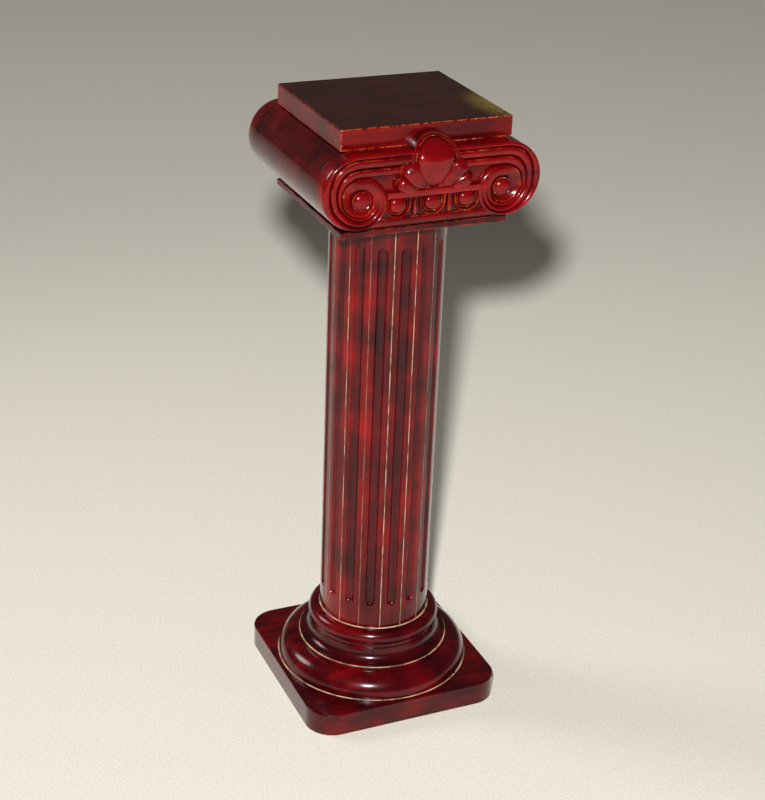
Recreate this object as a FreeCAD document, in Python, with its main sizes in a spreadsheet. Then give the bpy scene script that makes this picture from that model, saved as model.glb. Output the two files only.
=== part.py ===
import FreeCAD, Part
import math
import os

import Sketcher
from FreeCAD import Placement, Rotation, Vector

# Pedestal column stand: a square plinth, two turned base rings, a shaft of sixteen fluted
# staves, and a scroll capital under a flat top board. Millimetres, +Z up. The origin is the
# centre of the plinth's underside, and the front of the capital faces -Y.

SIZES = (
    ("plinth_side", 304.8, "side of the square plinth, 12 in"),
    ("plinth_thickness", 35.0, "plinth board"),
    ("plinth_corner_radius", 42.0, "rounded upright corners of the plinth"),
    ("plinth_edge_radius", 2.0, "eased top edge of the plinth"),
    ("lower_ring_diameter", 289.0, "foot of the lower base ring"),
    ("lower_ring_height", 36.5, "lower base ring"),
    ("lower_ring_lip", 4.0, "upright rim at the foot of the lower ring"),
    ("lower_ring_roll", 28.5, "radius of the lower ring's rounded shoulder"),
    ("upper_ring_foot_diameter", 224.8, "foot of the upper base ring"),
    ("upper_ring_height", 50.0, "upper base ring"),
    ("upper_ring_lip", 2.5, "upright rim at the foot of the upper ring"),
    ("cove_radius", 15.5, "hollow between the rim and the fillet"),
    ("fillet_diameter", 194.0, "narrow square band between hollow and roll"),
    ("fillet_height", 5.0, "narrow square band between hollow and roll"),
    ("upper_roll_diameter", 199.0, "widest part of the upper roll"),
    ("upper_roll_radius", 12.0, "section of the upper roll"),
    ("upper_roll_undercut", 50.0, "degrees below level where the roll meets the band"),
    ("shaft_diameter", 165.0, "outside of the shaft"),
    ("shaft_length", 646.9, "from the base rings to the neck plate"),
    ("shaft_turn", 6.0, "degrees that the shaft was glued in turned from square"),
    ("stave_count", 16, "staves round the shaft"),
    ("stave_thickness", 22.0, "wall of the shaft, measured to the flat inner face"),
    ("flute_width", 15.0, "hollow groove down the middle of each stave"),
    ("flute_depth", 5.0, "hollow groove down the middle of each stave"),
    ("flute_margin", 38.0, "plain stave left above and below the flute"),
    ("end_block_height", 40.0, "blocks that the staves are glued round"),
    ("neck_width", 243.0, "neck plate, side to side"),
    ("neck_depth", 238.0, "neck plate, front to back"),
    ("neck_thickness", 8.0, "neck plate"),
    ("neck_edge_radius", 1.5, "eased edges of the neck plate"),
    ("capital_height", 110.0, "from the neck plate to the top board"),
    ("core_width", 184.0, "block between the side rolls"),
    ("top_width", 246.0, "top board, side to side"),
    ("top_depth", 232.0, "top board, front to back, and the depth of the block below"),
    ("top_thickness", 28.0, "top board"),
    ("top_edge_radius", 2.5, "eased edges of the top board"),
    ("scroll_spacing", 213.0, "between the axes of the two side rolls"),
    ("scroll_radius", 50.4, "side rolls and the rims of the scrolls"),
    ("panel_thickness", 18.0, "flat ground of the carved panel"),
    ("bead_radius", 6.5, "rounded beads that run into the scrolls"),
    ("bead_height", 3.2, "bead axis in front of the panel's ground"),
    ("inner_bead_radius", 5.2, "innermost bead"),
    ("middle_bead_inset", 20.4, "middle bead's axis in from the scroll's rim at the side"),
    ("middle_bead_drop", 12.0, "middle bead's axis below the top board"),
    ("middle_bead_rise", 17.9, "middle bead's axis above the scroll's lowest point"),
    ("inner_bead_inset", 30.0, "inner bead's axis in from the scroll's rim at the side"),
    ("inner_bead_drop", 24.5, "inner bead's axis below the top board"),
    ("inner_bead_rise", 26.5, "inner bead's axis above the scroll's lowest point"),
    ("long_bead_turns", 4, "quarter turns in each scroll, outer and middle bead"),
    ("inner_bead_turns", 2, "quarter turns in each scroll, inner bead"),
    ("first_turn_share", 0.515, "share of a bead's height in its scroll's first quarter turn"),
    ("outer_bead_shrink", 0.84, "how each inner quarter turn shrinks, outer bead"),
    ("middle_bead_shrink", 0.73, "how each inner quarter turn shrinks, middle bead"),
    ("eye_radius", 14.0, "domed eye of the scroll"),
    ("eye_height", 9.6, "rise of the eye above the panel's ground"),
    ("eye_root", 2.0, "part of the eye that is sunk in the panel"),
    ("eye_inset", 5.5, "eye's axis inward of the side roll's axis"),
    ("eye_drop", 11.5, "eye's axis below the side roll's axis"),
    ("egg_band_width", 133.2, "egg band between the scrolls"),
    ("egg_band_bottom", 14.0, "underside of the egg band above the neck plate"),
    ("egg_band_height", 43.0, "egg band with its ledge"),
    ("ledge_height", 8.5, "ledge along the top of the egg band"),
    ("ledge_reach", 10.0, "ledge in front of the panel's ground"),
    ("egg_spacing", 49.5, "between the eggs"),
    ("egg_drop", 0.5, "between the ledge and the eggs"),
    ("egg_width", 23.0, "egg, side to side"),
    ("egg_length", 25.0, "egg, top to bottom"),
    ("egg_reach", 9.0, "egg in front of the panel's ground"),
    ("husk_bead_radius", 2.4, "raised rim round an egg"),
    ("husk_gap", 4.0, "from the egg's edge to the rim's axis"),
    ("husk_rise", 5.6, "straight ends of the rim above the egg's middle"),
    ("dart_width", 7.0, "dart between two eggs"),
    ("dart_reach", 5.4, "dart in front of the panel's ground"),
    ("shell_height", 73.0, "from the ledge to the crown of the middle lobe"),
    ("shell_root_drop", 4.0, "point where the lobes meet, below the top of the ledge"),
    ("middle_lobe_radius", 33.5, "round end of the middle lobe"),
    ("side_lobe_radius", 16.5, "round ends of the two lobes beside it"),
    ("side_lobe_length", 41.6, "from the meeting point to the middle of the round end"),
    ("side_lobe_lean", 51.0, "degrees from upright"),
    ("low_lobe_radius", 12.0, "round ends of the two lowest lobes"),
    ("low_lobe_length", 46.8, "from the meeting point to the middle of the round end"),
    ("low_lobe_lean", 71.5, "degrees from upright"),
    ("shell_rim", 4.0, "flat border round each lobe"),
    ("shell_rim_reach", 7.0, "border in front of the panel's ground"),
    ("shell_reach", 16.0, "crown of the middle lobe in front of the panel's ground"),
    ("side_lobe_reach", 13.5, "crowns of the other lobes in front of the panel's ground"),
    ("crown_place", 0.8, "place of a lobe's crown on the way from its point to its round end"),
)

doc = FreeCAD.newDocument("PedestalColumnStand")
sheet = doc.addObject("Spreadsheet::Sheet", "Sizes")
for row, (alias, value, note) in enumerate(SIZES, start=1):
    sheet.set("A%d" % row, alias)
    sheet.set("B%d" % row, str(value))
    sheet.set("C%d" % row, note)
    sheet.setAlias("B%d" % row, alias)
doc.recompute()


def size(alias):
    """Number in the sheet's cell of that name."""
    return float(sheet.get(alias))


# Heights at which one piece stands on the next.
LOWER_RING_FOOT = "Sizes.plinth_thickness"
UPPER_RING_FOOT = LOWER_RING_FOOT + " + Sizes.lower_ring_height"
SHAFT_FOOT = UPPER_RING_FOOT + " + Sizes.upper_ring_height"
NECK_FOOT = SHAFT_FOOT + " + Sizes.shaft_length"
CAPITAL_FOOT = NECK_FOOT + " + Sizes.neck_thickness"
TOP_FOOT = CAPITAL_FOOT + " + Sizes.capital_height"

parts = []


def keep(piece, label):
    """Name a finished sub-part and put it on the list of those written out."""
    piece.Label = label
    parts.append(piece)
    return piece


# ---------------------------------------------------------------- sketches and bodies

def number(expression):
    """Value of an expression over the sheet."""
    return float(sheet.evalExpression(expression))


def new_body(name):
    return doc.addObject("PartDesign::Body", name)


def new_sketch(body, name, role):
    """Empty sketch on one of the body's own origin planes."""
    plane = next(item for item in body.Origin.OriginFeatures if item.Role == role)
    sketch = body.newObject("Sketcher::SketchObject", name)
    sketch.AttachmentSupport = [(plane, "")]
    sketch.MapMode = "FlatFace"
    return sketch


def pin(sketch, line, end, corner):
    """Hold one end of a sketch line at a corner given by two expressions."""
    for kind, expression in zip(("DistanceX", "DistanceY"), corner):
        value = number(expression)
        index = sketch.addConstraint(Sketcher.Constraint(kind, -1, 1, line, end, value))
        sketch.setExpression("Constraints[%d]" % index, expression)


def arc_crest(start, end, radius, bulge):
    """Middle of a short arc; bulge +1 puts it left of the way from start to end."""
    middle = (start + end) * 0.5
    half = (end - start) * 0.5
    left = Vector(-half.y, half.x, 0).normalize()
    centre = middle - left * (bulge * math.sqrt(max(radius ** 2 - half.Length ** 2, 0.0)))
    return centre + left * (bulge * radius)


def draw_outline(sketch, corners):
    """Closed outline; a corner is (x, y) or (x, y, radius, bulge) of the arc that follows it."""
    points = [Vector(number(c[0]), number(c[1]), 0) for c in corners]
    count = len(corners)
    for index, corner in enumerate(corners):
        start = points[index]
        end = points[(index + 1) % count]
        if len(corner) == 2:
            sketch.addGeometry(Part.LineSegment(start, end), False)
        else:
            crest = arc_crest(start, end, number(corner[2]), corner[3])
            sketch.addGeometry(Part.Arc(start, crest, end), False)
    ends = []
    for index in range(count):
        first = sketch.getPoint(index, 1)
        near = first.distanceToPoint(points[index]) < first.distanceToPoint(points[(index + 1) % count])
        ends.append((1, 2) if near else (2, 1))
    for index, corner in enumerate(corners):
        after = (index + 1) % count
        sketch.addConstraint(
            Sketcher.Constraint("Coincident", index, ends[index][1], after, ends[after][0]))
        pin(sketch, index, ends[index][0], corner[:2])
        if len(corner) == 4:
            radius = sketch.addConstraint(
                Sketcher.Constraint("Radius", index, number(corner[2])))
            sketch.setExpression("Constraints[%d]" % radius, corner[2])


def new_pad(body, sketch, name, length):
    pad = body.newObject("PartDesign::Pad", name)
    pad.Profile = sketch
    pad.setExpression("Length", length)
    return pad


def new_fillet(body, base, name, edges, radius):
    doc.recompute()
    fillet = body.newObject("PartDesign::Fillet", name)
    fillet.Base = (base, edges)
    fillet.setExpression("Radius", radius)
    return fillet


def edge_names(feature, wanted):
    """Names of a feature's edges for which wanted(edge) holds."""
    doc.recompute()
    edges = enumerate(feature.Shape.Edges, start=1)
    return ["Edge%d" % index for index, edge in edges if wanted(edge)]


def is_upright(edge):
    first, last = edge.Vertexes[0].Point, edge.Vertexes[-1].Point
    return abs(first.z - last.z) > 1e-6 and math.hypot(first.x - last.x, first.y - last.y) < 1e-6


def lies_at(height):
    """Test for an edge whose ends and middle are at that height."""
    return lambda edge: all(abs(p.z - height) < 1e-6 for p in edge.discretize(5))


def new_board(label, width, depth, thickness, foot):
    """Rectangular board centred on the Z axis, standing at its foot."""
    body = new_body(label + "_body")
    sketch = new_sketch(body, label + "_outline", "XY_Plane")
    right, back = width + " / 2", depth + " / 2"
    draw_outline(sketch, (("-" + right, "-" + back), (right, "-" + back),
                          (right, back), ("-" + right, back)))
    pad = new_pad(body, sketch, label + "_pad", thickness)
    body.setExpression("Placement.Base.z", foot)
    return keep(body, label), pad


# ---------------------------------------------------------------- base

def make_plinth():
    body, pad = new_board("plinth", "Sizes.plinth_side", "Sizes.plinth_side",
                          "Sizes.plinth_thickness", "0")
    corners = new_fillet(body, pad, "plinth_corners", edge_names(pad, is_upright),
                         "Sizes.plinth_corner_radius")
    rim = edge_names(corners, lies_at(size("plinth_thickness")))
    new_fillet(body, corners, "plinth_rim", rim, "Sizes.plinth_edge_radius")


def turn_profile(label, corners, foot):
    """Turned piece: an outline in the XZ plane swung round the Z axis."""
    body = new_body(label + "_body")
    sketch = new_sketch(body, label + "_outline", "XZ_Plane")
    draw_outline(sketch, corners)
    turned = body.newObject("PartDesign::Revolution", label + "_turned")
    turned.Profile = sketch
    turned.ReferenceAxis = (sketch, ["V_Axis"])
    turned.Angle = 360.0
    body.setExpression("Placement.Base.z", foot)
    return keep(body, label)


def make_lower_ring():
    rim = "Sizes.lower_ring_diameter / 2"
    roll_top = "Sizes.lower_ring_lip + Sizes.lower_ring_roll"
    step = rim + " - Sizes.lower_ring_roll"
    turn_profile("lower_base_ring", (
        ("0", "0"),
        (rim, "0"),
        (rim, "Sizes.lower_ring_lip", "Sizes.lower_ring_roll", -1),
        (step, roll_top),
        (step, "Sizes.lower_ring_height"),
        ("0", "Sizes.lower_ring_height"),
    ), LOWER_RING_FOOT)


def make_upper_ring():
    rim = "Sizes.upper_ring_foot_diameter / 2"
    fillet = "Sizes.fillet_diameter / 2"
    roll_axis = "Sizes.upper_roll_diameter / 2 - Sizes.upper_roll_radius"
    roll_height = "Sizes.upper_ring_height - Sizes.upper_roll_radius"
    cove_top = "Sizes.upper_ring_lip + Sizes.cove_radius"
    fillet_top = cove_top + " + Sizes.fillet_height"
    undercut = "(Sizes.upper_roll_undercut * 1deg)"
    neck = roll_axis + " + Sizes.upper_roll_radius * cos" + undercut
    neck_height = roll_height + " - Sizes.upper_roll_radius * sin" + undercut
    turn_profile("upper_base_ring", (
        ("0", "0"),
        (rim, "0"),
        (rim, "Sizes.upper_ring_lip", "Sizes.cove_radius", 1),
        (fillet, cove_top),
        (fillet, fillet_top),
        (neck, fillet_top),
        (neck, neck_height, "Sizes.upper_roll_radius", -1),
        (roll_axis + " + Sizes.upper_roll_radius", roll_height, "Sizes.upper_roll_radius", -1),
        (roll_axis, "Sizes.upper_ring_height"),
        ("0", "Sizes.upper_ring_height"),
    ), UPPER_RING_FOOT)


# ---------------------------------------------------------------- shaft

def cut_flute(body):
    """Round-bottomed groove with round ends, turned about an axis in front of the stave."""
    width, depth = "Sizes.flute_width", "Sizes.flute_depth"
    radius = "(%s ^ 2 / 4 + %s ^ 2) / (2 * %s)" % (width, depth, depth)
    axis = "Sizes.shaft_diameter / 2 - %s + %s" % (depth, radius)
    low = "Sizes.flute_margin"
    high = "Sizes.shaft_length - Sizes.flute_margin"
    sketch = new_sketch(body, body.Name + "_flute", "XZ_Plane")
    draw_outline(sketch, (
        (axis, low, radius, 1),
        (axis + " - " + radius, low + " + " + radius),
        (axis + " - " + radius, high + " - " + radius, radius, 1),
        (axis, high),
    ))
    groove = body.newObject("PartDesign::Groove", body.Name + "_groove")
    groove.Profile = sketch
    groove.ReferenceAxis = (sketch, ["Edge4"])
    groove.Angle = 360.0
    return groove


def make_stave(index):
    """One stave: a board with slanted sides, a flat back and a turned, fluted front."""
    body = new_body("stave_%02d_body" % index)
    sketch = new_sketch(body, body.Name + "_outline", "XY_Plane")
    outer = "Sizes.shaft_diameter / 2"
    inner = outer + " - Sizes.stave_thickness"
    half = "(180deg / Sizes.stave_count)"
    across = "%s * cos%s" % (outer, half)
    out = "%s * sin%s" % (outer, half)
    draw_outline(sketch, (
        (inner, "-(%s) * tan%s" % (inner, half)),
        (across, "-" + out, outer, -1),
        (across, out),
        (inner, "(%s) * tan%s" % (inner, half)),
    ))
    pad = new_pad(body, sketch, body.Name + "_pad", "Sizes.shaft_length")
    doc.recompute()
    plain = pad.Shape.Volume
    groove = cut_flute(body)
    doc.recompute()
    if not groove.Shape.Volume < plain:
        raise RuntimeError("the flute of %s cuts nothing" % body.Name)
    turn = (index - 0.5) * 360.0 / size("stave_count") + size("shaft_turn")
    body.Placement = Placement(Vector(0, 0, 0), Rotation(Vector(0, 0, 1), turn))
    body.setExpression("Placement.Base.z", SHAFT_FOOT)
    keep(body, "stave_%02d" % index)


def make_end_block(label, foot):
    """Many-sided block whose flats meet the flat backs of the staves."""
    block = doc.addObject("Part::Prism", label)
    block.setExpression("Polygon", "Sizes.stave_count")
    block.setExpression("Circumradius", "(Sizes.shaft_diameter / 2 - Sizes.stave_thickness)"
                                        " / cos(180deg / Sizes.stave_count)")
    block.setExpression("Height", "Sizes.end_block_height")
    block.Placement = Placement(Vector(0, 0, 0), Rotation(Vector(0, 0, 1), size("shaft_turn")))
    block.setExpression("Placement.Base.z", foot)
    keep(block, label)


# ---------------------------------------------------------------- capital: plain pieces

def make_neck_plate():
    body, pad = new_board("neck_plate", "Sizes.neck_width", "Sizes.neck_depth",
                          "Sizes.neck_thickness", NECK_FOOT)
    edges = edge_names(pad, lambda edge: not lies_at(0)(edge))
    new_fillet(body, pad, "neck_plate_edges", edges, "Sizes.neck_edge_radius")


def make_abacus():
    body, pad = new_board("abacus", "Sizes.top_width", "Sizes.top_depth",
                          "Sizes.top_thickness", TOP_FOOT)
    edges = edge_names(pad, lambda edge: not lies_at(0)(edge))
    new_fillet(body, pad, "abacus_edges", edges, "Sizes.top_edge_radius")


def make_core():
    core = doc.addObject("Part::Box", "capital_core")
    core.setExpression("Length", "Sizes.core_width")
    core.setExpression("Width", "Sizes.top_depth")
    core.setExpression("Height", "Sizes.capital_height")
    core.setExpression("Placement.Base.x", "-Sizes.core_width / 2")
    core.setExpression("Placement.Base.y", "-Sizes.top_depth / 2")
    core.setExpression("Placement.Base.z", CAPITAL_FOOT)
    keep(core, "capital_core")


def make_bolster(label, turn):
    """Side roll of the capital, half round outside and flat against the core."""
    body = new_body(label + "_body")
    sketch = new_sketch(body, label + "_outline", "XZ_Plane")
    inside = "Sizes.core_width / 2"
    axis = "Sizes.scroll_spacing / 2"
    radius = "Sizes.scroll_radius"
    top = "Sizes.capital_height"
    draw_outline(sketch, (
        (inside, top),
        (axis, top, radius, 1),
        (axis + " + " + radius, top + " - " + radius, radius, 1),
        (axis, top + " - 2 * " + radius),
        (inside, top + " - 2 * " + radius),
    ))
    pad = new_pad(body, sketch, label + "_pad", "Sizes.top_depth")
    pad.Midplane = True
    body.Placement = Placement(Vector(0, 0, 0), Rotation(Vector(0, 0, 1), turn))
    body.setExpression("Placement.Base.z", CAPITAL_FOOT)
    keep(body, label)


# ---------------------------------------------------------------- capital: carved pieces
# The carving is drawn in the capital's own frame: x to the right, z up from the neck plate,
# and y towards the back. The back of each carved piece lies on the core.

FACE = size("top_depth") / 2
GROUND = FACE + size("panel_thickness")
AXIS_X = size("scroll_spacing") / 2
CAPITAL_TOP = size("capital_height")
AXIS_Z = CAPITAL_TOP - size("scroll_radius")
SCROLL_BOTTOM = CAPITAL_TOP - 2 * size("scroll_radius")


def at(x, z, depth):
    """Point in front of the capital's middle plane."""
    return Vector(x, -depth, z)


def block_between(left, right, low, high, near, far):
    """Box given by its sides, its heights and its two depths in front of the middle plane."""
    return Part.makeBox(right - left, far - near, high - low, at(left, low, far))


def dome(x, z, radius, rise, base):
    """Spherical cap on a short round root, standing forward from a depth."""
    root = size("eye_root")
    ball = (radius ** 2 + rise ** 2) / (2 * rise)
    slant = math.asin(radius / ball) / 2
    crest = Vector(ball * math.sin(slant), 0, rise - ball * (1 - math.cos(slant)))
    rim, top = Vector(radius, 0, 0), Vector(0, 0, rise)
    under, centre = Vector(radius, 0, -root), Vector(0, 0, -root)
    edges = [Part.Arc(rim, crest, top).toShape(), Part.makeLine(top, centre),
             Part.makeLine(centre, under), Part.makeLine(under, rim)]
    solid = Part.Face(Part.Wire(edges)).revolve(Vector(0, 0, 0), Vector(0, 0, 1), 360)
    solid.Placement = Placement(at(x, z, base), Rotation(Vector(1, 0, 0), 90))
    return solid


def quarter_turns(x_outer, z_top, z_bottom, shrink, turns):
    """Tangent quarter arcs of a scroll: over its top, down its outside and in to its eye."""
    height = z_top - z_bottom
    first = size("first_turn_share") * height
    radii = [first, height - first]
    while len(radii) < turns:
        radii.append(radii[-1] * shrink)
    centre = Vector(x_outer - first, 0, z_top - first)
    arcs = []
    for index, radius in enumerate(radii[:turns]):
        start, middle, end = (
            centre + Vector(radius * math.cos(angle), 0, radius * math.sin(angle))
            for angle in (math.radians(90 - 90 * index - step) for step in (0, 45, 90)))
        arcs.append((start, middle, end))
        if index + 1 < turns:
            centre = centre + (end - centre) * (1 - radii[index + 1] / radius)
    return arcs


def scroll_bead(radius, inset, drop, rise, shrink, turns):
    """Round bead that runs along the panel's top and curls into both scrolls."""
    arcs = quarter_turns(AXIS_X + size("scroll_radius") - inset, CAPITAL_TOP - drop,
                         SCROLL_BOTTOM + rise, shrink, turns)
    mirrored = [tuple(Vector(-p.x, 0, p.z) for p in arc[::-1]) for arc in arcs[::-1]]
    edges = [Part.Arc(*arc).toShape() for arc in mirrored]
    edges.append(Part.makeLine(mirrored[-1][2], arcs[0][0]))
    edges += [Part.Arc(*arc).toShape() for arc in arcs]
    path = Part.Wire(edges)
    path.translate(Vector(0, -GROUND - size("bead_height"), 0))
    start = path.Edges[0]
    tangent = start.tangentAt(start.FirstParameter)
    section = Part.Wire(Part.makeCircle(radius, start.valueAt(start.FirstParameter), tangent))
    return path.makePipeShell([section], True, False)


def make_scrolls():
    """Both scrolls with the band between them, before the shell and the eggs are let in."""
    radius = size("scroll_radius")
    panel = block_between(-AXIS_X, AXIS_X, SCROLL_BOTTOM, CAPITAL_TOP, FACE, GROUND)
    pieces = []
    for side in (-1, 1):
        pieces.append(Part.makeCylinder(radius, size("panel_thickness"),
                                        at(side * AXIS_X, AXIS_Z, FACE), Vector(0, -1, 0)))
        pieces.append(dome(side * (AXIS_X - size("eye_inset")), AXIS_Z - size("eye_drop"),
                           size("eye_radius"), size("eye_height"), GROUND))
    bead = size("bead_radius")
    turns = int(size("long_bead_turns"))
    pieces.append(scroll_bead(bead, bead, bead, bead, size("outer_bead_shrink"), turns))
    pieces.append(scroll_bead(bead, size("middle_bead_inset"), size("middle_bead_drop"),
                              size("middle_bead_rise"), size("middle_bead_shrink"), turns))
    pieces.append(scroll_bead(size("inner_bead_radius"), size("inner_bead_inset"),
                              size("inner_bead_drop"), size("inner_bead_rise"), 1.0,
                              int(size("inner_bead_turns"))))
    for piece in pieces:
        panel = panel.fuse(piece)
    return panel.removeSplitter()


def teardrop(point, tip, radius, near, far):
    """Prism of a drop: a point, a round tip, and the two straight flanks between them."""
    axis = tip - point
    length = axis.Length
    ahead = axis * (1 / length)
    side = Vector(-ahead.z, 0, ahead.x)
    lean = math.asin(radius / length)
    flank = ahead * (-radius * math.sin(lean)) + side * (radius * math.cos(lean))
    other = ahead * (-radius * math.sin(lean)) - side * (radius * math.cos(lean))
    left, right, crown = tip + flank, tip + other, tip + ahead * radius
    wire = Part.Wire([Part.makeLine(point, left), Part.Arc(left, crown, right).toShape(),
                      Part.makeLine(right, point)])
    drop = Part.Face(wire).extrude(Vector(0, near - far, 0))
    drop.translate(Vector(0, -near, 0))
    return drop


def lobe(point, tip, radius, reach):
    """Shell lobe: a flat rim, and inside it a cushion rounded by a large ball."""
    rim_face = GROUND + size("shell_rim_reach")
    crown_face = GROUND + reach
    rim = teardrop(point, tip, radius, FACE, rim_face)
    ahead = (tip - point).normalize()
    inner_point = point + ahead * (2 * size("shell_rim"))
    cushion = teardrop(inner_point, tip, radius - size("shell_rim"), FACE,
                       crown_face + size("shell_rim"))
    middle = point + (tip - point) * size("crown_place")
    half = (tip - point).Length * (1 - size("crown_place")) + radius
    rise = crown_face - rim_face
    ball_radius = (half ** 2 + rise ** 2) / (2 * rise)
    ball = Part.makeSphere(ball_radius, at(middle.x, middle.z, crown_face - ball_radius))
    return rim, cushion.common(ball)


def shell_lobes():
    """The five lobes as (point, tip, radius, reach), from the middle outwards."""
    ledge_top = size("egg_band_bottom") + size("egg_band_height")
    root = Vector(0, 0, ledge_top - size("shell_root_drop"))
    radius = size("middle_lobe_radius")
    crown = Vector(0, 0, ledge_top + size("shell_height") - radius)
    lobes = [(root, crown, radius, size("shell_reach"))]
    for name in ("side_lobe", "low_lobe"):
        lean = math.radians(size(name + "_lean"))
        for side in (-1, 1):
            way = Vector(side * math.sin(lean), 0, math.cos(lean))
            lobes.append((root, root + way * size(name + "_length"), size(name + "_radius"),
                          size("side_lobe_reach")))
    return lobes


def make_shell():
    """Palmette of five lobes, cut off level with the ledge, and the space it takes up."""
    rims, cushions, spaces = [], [], []
    for point, tip, radius, reach in shell_lobes():
        rim, cushion = lobe(point, tip, radius, reach)
        rims.append(rim)
        cushions.append(cushion)
        spaces.append(teardrop(point, tip, radius, FACE, 2 * GROUND))
    ledge_top = size("egg_band_bottom") + size("egg_band_height")
    half = size("top_width") / 2
    above = block_between(-half, half, ledge_top, 2 * CAPITAL_TOP, FACE, 2 * GROUND)
    shell = rims[0].multiFuse(rims[1:] + cushions).common(above).removeSplitter()
    space = spaces[0].multiFuse(spaces[1:]).common(above).removeSplitter()
    return shell, space


def husk(x, z):
    """Raised rim round the lower half of an egg, open at the top."""
    across = size("egg_width") / 2 + size("husk_gap")
    bead = size("husk_bead_radius")
    up = size("husk_rise")
    left, right = at(x - across, z, GROUND), at(x + across, z, GROUND)
    path = Part.Wire([
        Part.makeLine(left + Vector(0, 0, up), left),
        Part.Arc(left, at(x, z - across, GROUND), right).toShape(),
        Part.makeLine(right, right + Vector(0, 0, up)),
    ])
    section = Part.Wire(Part.makeCircle(bead, left + Vector(0, 0, up), Vector(0, 0, 1)))
    return path.makePipeShell([section], True, False)


def egg(x, z):
    """Egg: a ball stretched to its three sizes and cut off at the ground's back."""
    ball = Part.makeSphere(1.0)
    stretch = FreeCAD.Matrix()
    stretch.scale(size("egg_width") / 2, size("egg_reach"), size("egg_length") / 2)
    ball = ball.transformGeometry(stretch)
    ball.translate(at(x, z, GROUND))
    return ball


def dart(x, z):
    """Pointed wedge between two eggs."""
    half = size("dart_width") / 2
    top = z + size("husk_rise")
    points = [at(x - half, top, GROUND), at(x + half, top, GROUND),
              at(x, z - size("egg_length") / 2, GROUND)]
    face = Part.Face(Part.makePolygon(points + points[:1]))
    return face.extrude(Vector(0, -size("dart_reach"), 0))


def make_egg_band():
    """Ledge, three eggs in their husks and two darts on one strip."""
    half = size("egg_band_width") / 2
    low = size("egg_band_bottom")
    high = low + size("egg_band_height")
    strip = block_between(-half, half, low, high, FACE, GROUND)
    ledge = block_between(-half, half, high - size("ledge_height"), high, FACE,
                          GROUND + size("ledge_reach"))
    egg_z = high - size("ledge_height") - size("egg_drop") - size("egg_length") / 2
    pieces = [ledge]
    for step in (-1, 0, 1):
        x = step * size("egg_spacing")
        pieces += [egg(x, egg_z), husk(x, egg_z)]
    for side in (-1, 1):
        pieces.append(dart(side * size("egg_spacing") / 2, egg_z))
    return strip.multiFuse(pieces).removeSplitter(), strip.fuse(ledge)


def place_carving(shape, label, turn):
    """Put a carved piece on the core's front, or half a turn round on its back."""
    feature = doc.addObject("Part::Feature", label)
    feature.Shape = shape
    feature.Placement = Placement(Vector(0, 0, number(CAPITAL_FOOT)),
                                  Rotation(Vector(0, 0, 1), turn))
    keep(feature, label)


def make_carving():
    shell, shell_space = make_shell()
    egg_band, egg_space = make_egg_band()
    panel = make_scrolls().cut(egg_band).cut(shell_space)
    shell = shell.cut(egg_space)
    for side, turn in (("front", 0), ("back", 180)):
        place_carving(panel, side + "_scroll_panel", turn)
        place_carving(shell, side + "_shell", turn)
        place_carving(egg_band, side + "_egg_band", turn)


# ---------------------------------------------------------------- assembly

def write_parts():
    """Stop on any failed object, then write one file for each sub-part."""
    for item in doc.Objects:
        if any(word in item.State for word in ("Invalid", "Error")):
            raise RuntimeError("%s did not build" % item.Label)
    for piece in parts:
        if piece.Shape.isNull() or not piece.Shape.isValid():
            raise RuntimeError("%s has no valid shape" % piece.Label)
    os.makedirs("parts", exist_ok=True)
    for piece in parts:
        piece.Shape.exportStep("parts/%s.step" % piece.Label)
        print("%-20s %2d solid(s) %10.0f mm3" % (piece.Label, len(piece.Shape.Solids),
                                                 piece.Shape.Volume))


make_plinth()
make_lower_ring()
make_upper_ring()
for number_of_stave in range(1, int(size("stave_count")) + 1):
    make_stave(number_of_stave)
make_end_block("shaft_foot_block", SHAFT_FOOT)
make_end_block("shaft_head_block", NECK_FOOT + " - Sizes.end_block_height")
make_neck_plate()
make_core()
make_bolster("right_bolster", 0)
make_bolster("left_bolster", 180)
make_carving()
make_abacus()
doc.recompute()
write_parts()
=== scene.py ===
# %% [markdown]
# # A turned and carved mahogany pedestal, dressed for the camera
#
# The solids of the stand come from the CAD model, in metres and already in
# their places. This lesson gives them their lacquered finish, carves the
# capital more finely than the solids do, and sets up light and camera.

# %% The frame of solids
import math

import bmesh
import bpy
import numpy as np
from mathutils import Matrix, Vector


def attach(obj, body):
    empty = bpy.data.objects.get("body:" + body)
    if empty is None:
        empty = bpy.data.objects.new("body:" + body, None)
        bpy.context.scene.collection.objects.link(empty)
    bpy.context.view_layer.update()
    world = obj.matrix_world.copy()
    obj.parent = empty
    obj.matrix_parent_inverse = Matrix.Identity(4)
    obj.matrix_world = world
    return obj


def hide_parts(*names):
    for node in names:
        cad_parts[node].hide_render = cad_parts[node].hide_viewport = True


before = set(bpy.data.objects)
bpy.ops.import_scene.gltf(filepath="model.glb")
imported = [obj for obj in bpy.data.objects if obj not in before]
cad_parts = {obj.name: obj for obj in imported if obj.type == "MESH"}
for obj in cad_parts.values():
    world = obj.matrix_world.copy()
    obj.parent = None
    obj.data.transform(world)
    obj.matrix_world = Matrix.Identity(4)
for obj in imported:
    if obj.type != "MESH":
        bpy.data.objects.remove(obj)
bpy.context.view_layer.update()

# %% [markdown]
# ## Colours and nodes
#
# Colours are written as the sRGB hex values a painter would pick, and one
# function turns them into the linear numbers that Blender calculates with.
# A second small function adds a node with its settings and links, so that
# each finish below reads as a short list of what it is made of.


# %% Helpers for colours and nodes
def paint(code):
    """An sRGB hex colour as Blender's linear red, green, blue and alpha."""
    parts = [int(code[i:i + 2], 16) / 255 for i in (1, 3, 5)]
    linear = [p / 12.92 if p <= 0.04045 else ((p + 0.055) / 1.055) ** 2.4 for p in parts]
    return (*linear, 1.0)


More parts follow.
